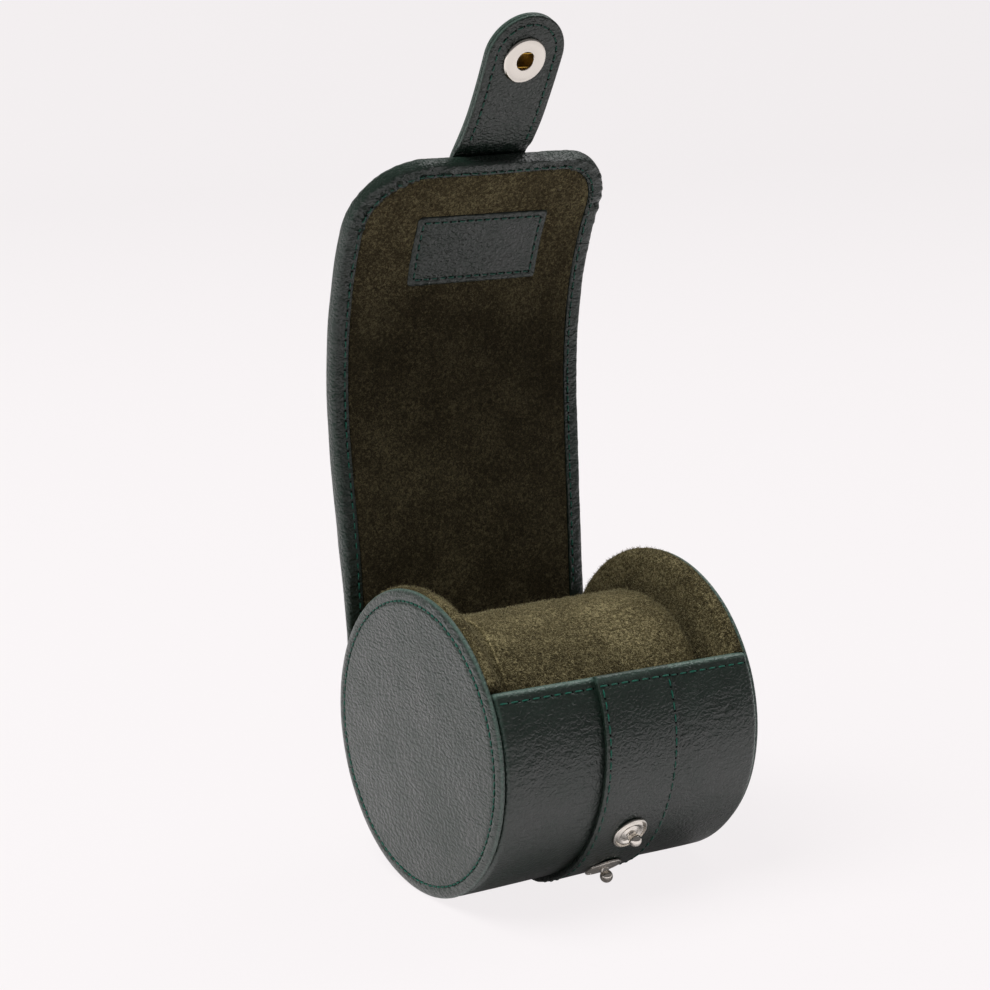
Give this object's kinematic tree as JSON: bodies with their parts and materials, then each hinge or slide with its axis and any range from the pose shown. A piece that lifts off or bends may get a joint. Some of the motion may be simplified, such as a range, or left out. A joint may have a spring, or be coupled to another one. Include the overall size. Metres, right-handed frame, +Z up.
{
  "type": "watch roll",
  "caption": "Round leather case lying on its side, open at the top over a suede pillow, with a padded flap that curls over the opening and snaps to the front with a tab.",
  "frame": {"origin": "on the table, on the flat underside of the strap, below the roll axis at mid length", "axes": "+X along the roll axis to the right seen from the front, -Y to the front, +Y to the back where the flap is hinged, +Z up"},
  "size_m": [0.0812, 0.0909, 0.224],
  "materials": {
    "green_leather": "grained",
    "olive_suede": "suede",
    "board": "pressed board",
    "foam": "foam",
    "nickel": "nickel plated",
    "brass_wire": "drawn"
  },
  "bodies": {
    "roll": {"stud_rivets": "nickel", "wall_leather": "green_leather", "wall_board": "board", "wall_lining": "olive_suede", "left_end_face": "green_leather", "left_end_board": "board", "left_end_pad": "olive_suede", "right_end_face": "green_leather", "right_end_board": "board", "right_end_pad": "olive_suede", "pillow_core": "foam", "pillow_cover": "olive_suede", "front_band": "green_leather", "closing_studs": "nickel"},
    "flap_panel_1": {"flap_leather_1": "green_leather", "flap_core_1": "foam", "flap_lining_1": "olive_suede", "flap_band_1": "green_leather"},
    "flap_panel_2": {"flap_leather_2": "green_leather", "flap_core_2": "foam", "flap_lining_2": "olive_suede", "flap_band_2": "green_leather"},
    "flap_panel_3": {"flap_leather_3": "green_leather", "flap_core_3": "foam", "flap_lining_3": "olive_suede", "flap_band_3": "green_leather"},
    "flap_panel_4": {"flap_leather_4": "green_leather", "flap_core_4": "foam", "flap_lining_4": "olive_suede", "flap_band_4": "green_leather"},
    "flap_panel_5": {"label_patch": "green_leather", "flap_leather_5": "green_leather", "flap_core_5": "foam", "flap_lining_5": "olive_suede", "flap_band_5": "green_leather"},
    "tab_base": {"tab_lining_1": "green_leather", "tab_outer_1": "green_leather"},
    "tab_end": {"tab_lining_2": "green_leather", "tab_outer_2": "green_leather", "snap_socket": "nickel", "snap_spring": "brass_wire", "snap_cap": "nickel"}
  },
  "joints": [
    {"name": "flap_hinge", "type": "hinge", "parent": "roll", "child": "flap_panel_1", "pos_m": [0, 0.03681, 0.06145], "axis": [1, 0, 0], "range_deg": [-60, 49.87]},
    {"name": "flap_curl", "type": "hinge", "parent": "flap_panel_1", "child": "flap_panel_2", "pos_m": [0, 0.03835, 0.0835], "axis": [1, 0, 0], "range_deg": [0, 32.55]},
    {"name": "flap_curl_2", "type": "hinge", "parent": "flap_panel_2", "child": "flap_panel_3", "pos_m": [0, 0.04104, 0.10543], "axis": [1, 0, 0], "range_deg": [0, 25.47]},
    {"name": "flap_curl_3", "type": "hinge", "parent": "flap_panel_3", "child": "flap_panel_4", "pos_m": [0, 0.04258, 0.12748], "axis": [1, 0, 0], "range_deg": [0, 16.34]},
    {"name": "flap_curl_4", "type": "hinge", "parent": "flap_panel_4", "child": "flap_panel_5", "pos_m": [0, 0.04008, 0.14944], "axis": [1, 0, 0], "range_deg": [0, 25.54]},
    {"name": "tab_curl", "type": "hinge", "parent": "flap_panel_5", "child": "tab_base", "pos_m": [0, 0.02867, 0.1855], "axis": [1, 0, 0], "range_deg": [0, 26.58]},
    {"name": "tab_curl_2", "type": "hinge", "parent": "tab_base", "child": "tab_end", "pos_m": [0, 0.02049, 0.19676], "axis": [1, 0, 0], "range_deg": [0, 31.94]}
  ],
  "couplings": [
    {"joint": "flap_curl_2", "follows": "flap_curl", "ratio": 0.78248},
    {"joint": "flap_curl_3", "follows": "flap_curl", "ratio": 0.50204},
    {"joint": "flap_curl_4", "follows": "flap_curl", "ratio": 0.78469},
    {"joint": "tab_curl_2", "follows": "tab_curl", "ratio": 1.2014}
  ]
}
